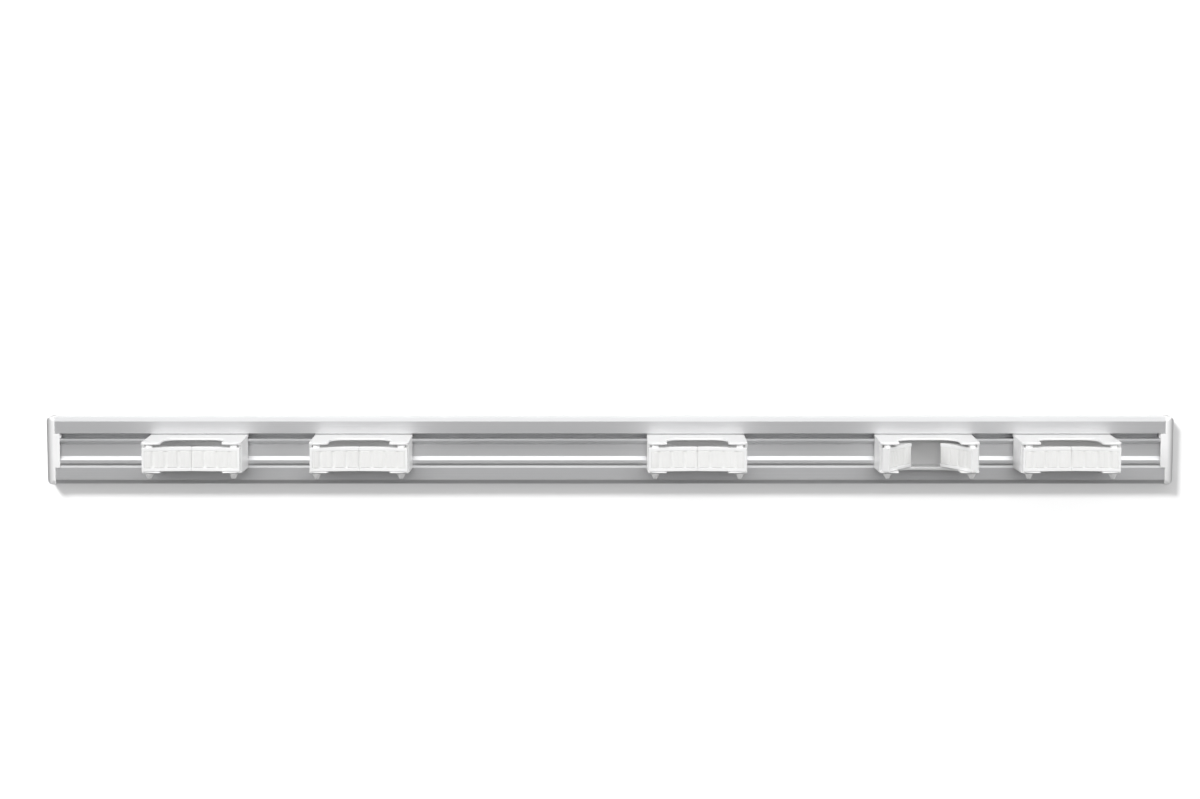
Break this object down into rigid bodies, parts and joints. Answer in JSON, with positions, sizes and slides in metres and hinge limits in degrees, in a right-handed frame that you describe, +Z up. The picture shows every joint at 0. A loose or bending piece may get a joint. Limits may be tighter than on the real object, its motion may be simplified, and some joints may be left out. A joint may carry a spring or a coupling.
{
  "type": "wall mop holder rack",
  "caption": "Aluminium wall rail with sliding white tool holders, each with a pair of ribbed jaws that fold in to grip an upright mop or broom handle.",
  "frame": {"origin": "centre of the rail's back face, on the wall", "axes": "+X along the rail to the right, +Y into the wall, +Z up; the front faces -Y"},
  "size_m": [0.9, 0.0641, 0.0548],
  "materials": {
    "aluminium": "satin anodised extrusion",
    "white_plastic": "white injection moulding",
    "grip_rubber": "off-white ribbed elastomer",
    "pin_plastic": "white moulded pin"
  },
  "bodies": {
    "wall_rail": {"rail": "aluminium", "end_cap_left": "white_plastic", "end_cap_right": "white_plastic"},
    "holder_1": {"holder_base_1": "white_plastic", "hinge_pins_1": "pin_plastic"},
    "left_jaw_body_1": {"left_jaw_1": "white_plastic", "left_grip_pad_1": "grip_rubber"},
    "right_jaw_body_1": {"right_jaw_1": "white_plastic", "right_grip_pad_1": "grip_rubber"},
    "holder_2": {"holder_base_2": "white_plastic", "hinge_pins_2": "pin_plastic"},
    "left_jaw_body_2": {"left_jaw_2": "white_plastic", "left_grip_pad_2": "grip_rubber"},
    "right_jaw_body_2": {"right_jaw_2": "white_plastic", "right_grip_pad_2": "grip_rubber"},
    "holder_3": {"holder_base_3": "white_plastic", "hinge_pins_3": "pin_plastic"},
    "left_jaw_body_3": {"left_jaw_3": "white_plastic", "left_grip_pad_3": "grip_rubber"},
    "right_jaw_body_3": {"right_jaw_3": "white_plastic", "right_grip_pad_3": "grip_rubber"},
    "holder_4": {"holder_base_4": "white_plastic", "hinge_pins_4": "pin_plastic"},
    "left_jaw_body_4": {"left_jaw_4": "white_plastic", "left_grip_pad_4": "grip_rubber"},
    "right_jaw_body_4": {"right_jaw_4": "white_plastic", "right_grip_pad_4": "grip_rubber"},
    "holder_5": {"holder_base_5": "white_plastic", "hinge_pins_5": "pin_plastic"},
    "left_jaw_body_5": {"left_jaw_5": "white_plastic", "left_grip_pad_5": "grip_rubber"},
    "right_jaw_body_5": {"right_jaw_5": "white_plastic", "right_grip_pad_5": "grip_rubber"}
  },
  "joints": [
    {"name": "holder_slide_1", "type": "slide", "parent": "wall_rail", "child": "holder_1", "axis": [1, 0, 0], "range_m": [-0.0712, 0.0256]},
    {"name": "left_jaw_hinge_1", "type": "hinge", "parent": "holder_1", "child": "left_jaw_body_1", "pos_m": [-0.36082, -0.05677, 0], "axis": [0, 0, 1], "range_deg": [0, 54]},
    {"name": "right_jaw_hinge_1", "type": "hinge", "parent": "holder_1", "child": "right_jaw_body_1", "pos_m": [-0.29482, -0.05677, 0], "axis": [0, 0, 1], "range_deg": [-54, 0]},
    {"name": "holder_slide_2", "type": "slide", "parent": "wall_rail", "child": "holder_2", "axis": [1, 0, 0], "range_m": [-0.0256, 0.0925]},
    {"name": "left_jaw_hinge_2", "type": "hinge", "parent": "holder_2", "child": "left_jaw_body_2", "pos_m": [-0.22969, -0.05677, 0], "axis": [0, 0, 1], "range_deg": [0, 54]},
    {"name": "right_jaw_hinge_2", "type": "hinge", "parent": "holder_2", "child": "right_jaw_body_2", "pos_m": [-0.16369, -0.05677, 0], "axis": [0, 0, 1], "range_deg": [-54, 0]},
    {"name": "holder_slide_3", "type": "slide", "parent": "wall_rail", "child": "holder_3", "axis": [1, 0, 0], "range_m": [-0.0925, 0.0508]},
    {"name": "left_jaw_hinge_3", "type": "hinge", "parent": "holder_3", "child": "left_jaw_body_3", "pos_m": [0.03522, -0.05677, 0], "axis": [0, 0, 1], "range_deg": [0, 54]},
    {"name": "right_jaw_hinge_3", "type": "hinge", "parent": "holder_3", "child": "right_jaw_body_3", "pos_m": [0.10122, -0.05677, 0], "axis": [0, 0, 1], "range_deg": [-54, 0]},
    {"name": "holder_slide_4", "type": "slide", "parent": "wall_rail", "child": "holder_4", "axis": [1, 0, 0], "range_m": [-0.0508, 0.0154]},
    {"name": "left_jaw_hinge_4", "type": "hinge", "parent": "holder_4", "child": "left_jaw_body_4", "pos_m": [0.21685, -0.05677, 0], "axis": [0, 0, 1], "range_deg": [-50, 4]},
    {"name": "right_jaw_hinge_4", "type": "hinge", "parent": "holder_4", "child": "right_jaw_body_4", "pos_m": [0.28285, -0.05677, 0], "axis": [0, 0, 1], "range_deg": [-4, 50]},
    {"name": "holder_slide_5", "type": "slide", "parent": "wall_rail", "child": "holder_5", "axis": [1, 0, 0], "range_m": [-0.0154, 0.0384]},
    {"name": "left_jaw_hinge_5", "type": "hinge", "parent": "holder_5", "child": "left_jaw_body_5", "pos_m": [0.3276, -0.05677, 0], "axis": [0, 0, 1], "range_deg": [0, 54]},
    {"name": "right_jaw_hinge_5", "type": "hinge", "parent": "holder_5", "child": "right_jaw_body_5", "pos_m": [0.3936, -0.05677, 0], "axis": [0, 0, 1], "range_deg": [-54, 0]}
  ],
  "couplings": [
    {"joint": "right_jaw_hinge_1", "follows": "left_jaw_hinge_1", "ratio": -1},
    {"joint": "right_jaw_hinge_2", "follows": "left_jaw_hinge_2", "ratio": -1},
    {"joint": "right_jaw_hinge_3", "follows": "left_jaw_hinge_3", "ratio": -1},
    {"joint": "right_jaw_hinge_4", "follows": "left_jaw_hinge_4", "ratio": -1},
    {"joint": "right_jaw_hinge_5", "follows": "left_jaw_hinge_5", "ratio": -1}
  ]
}
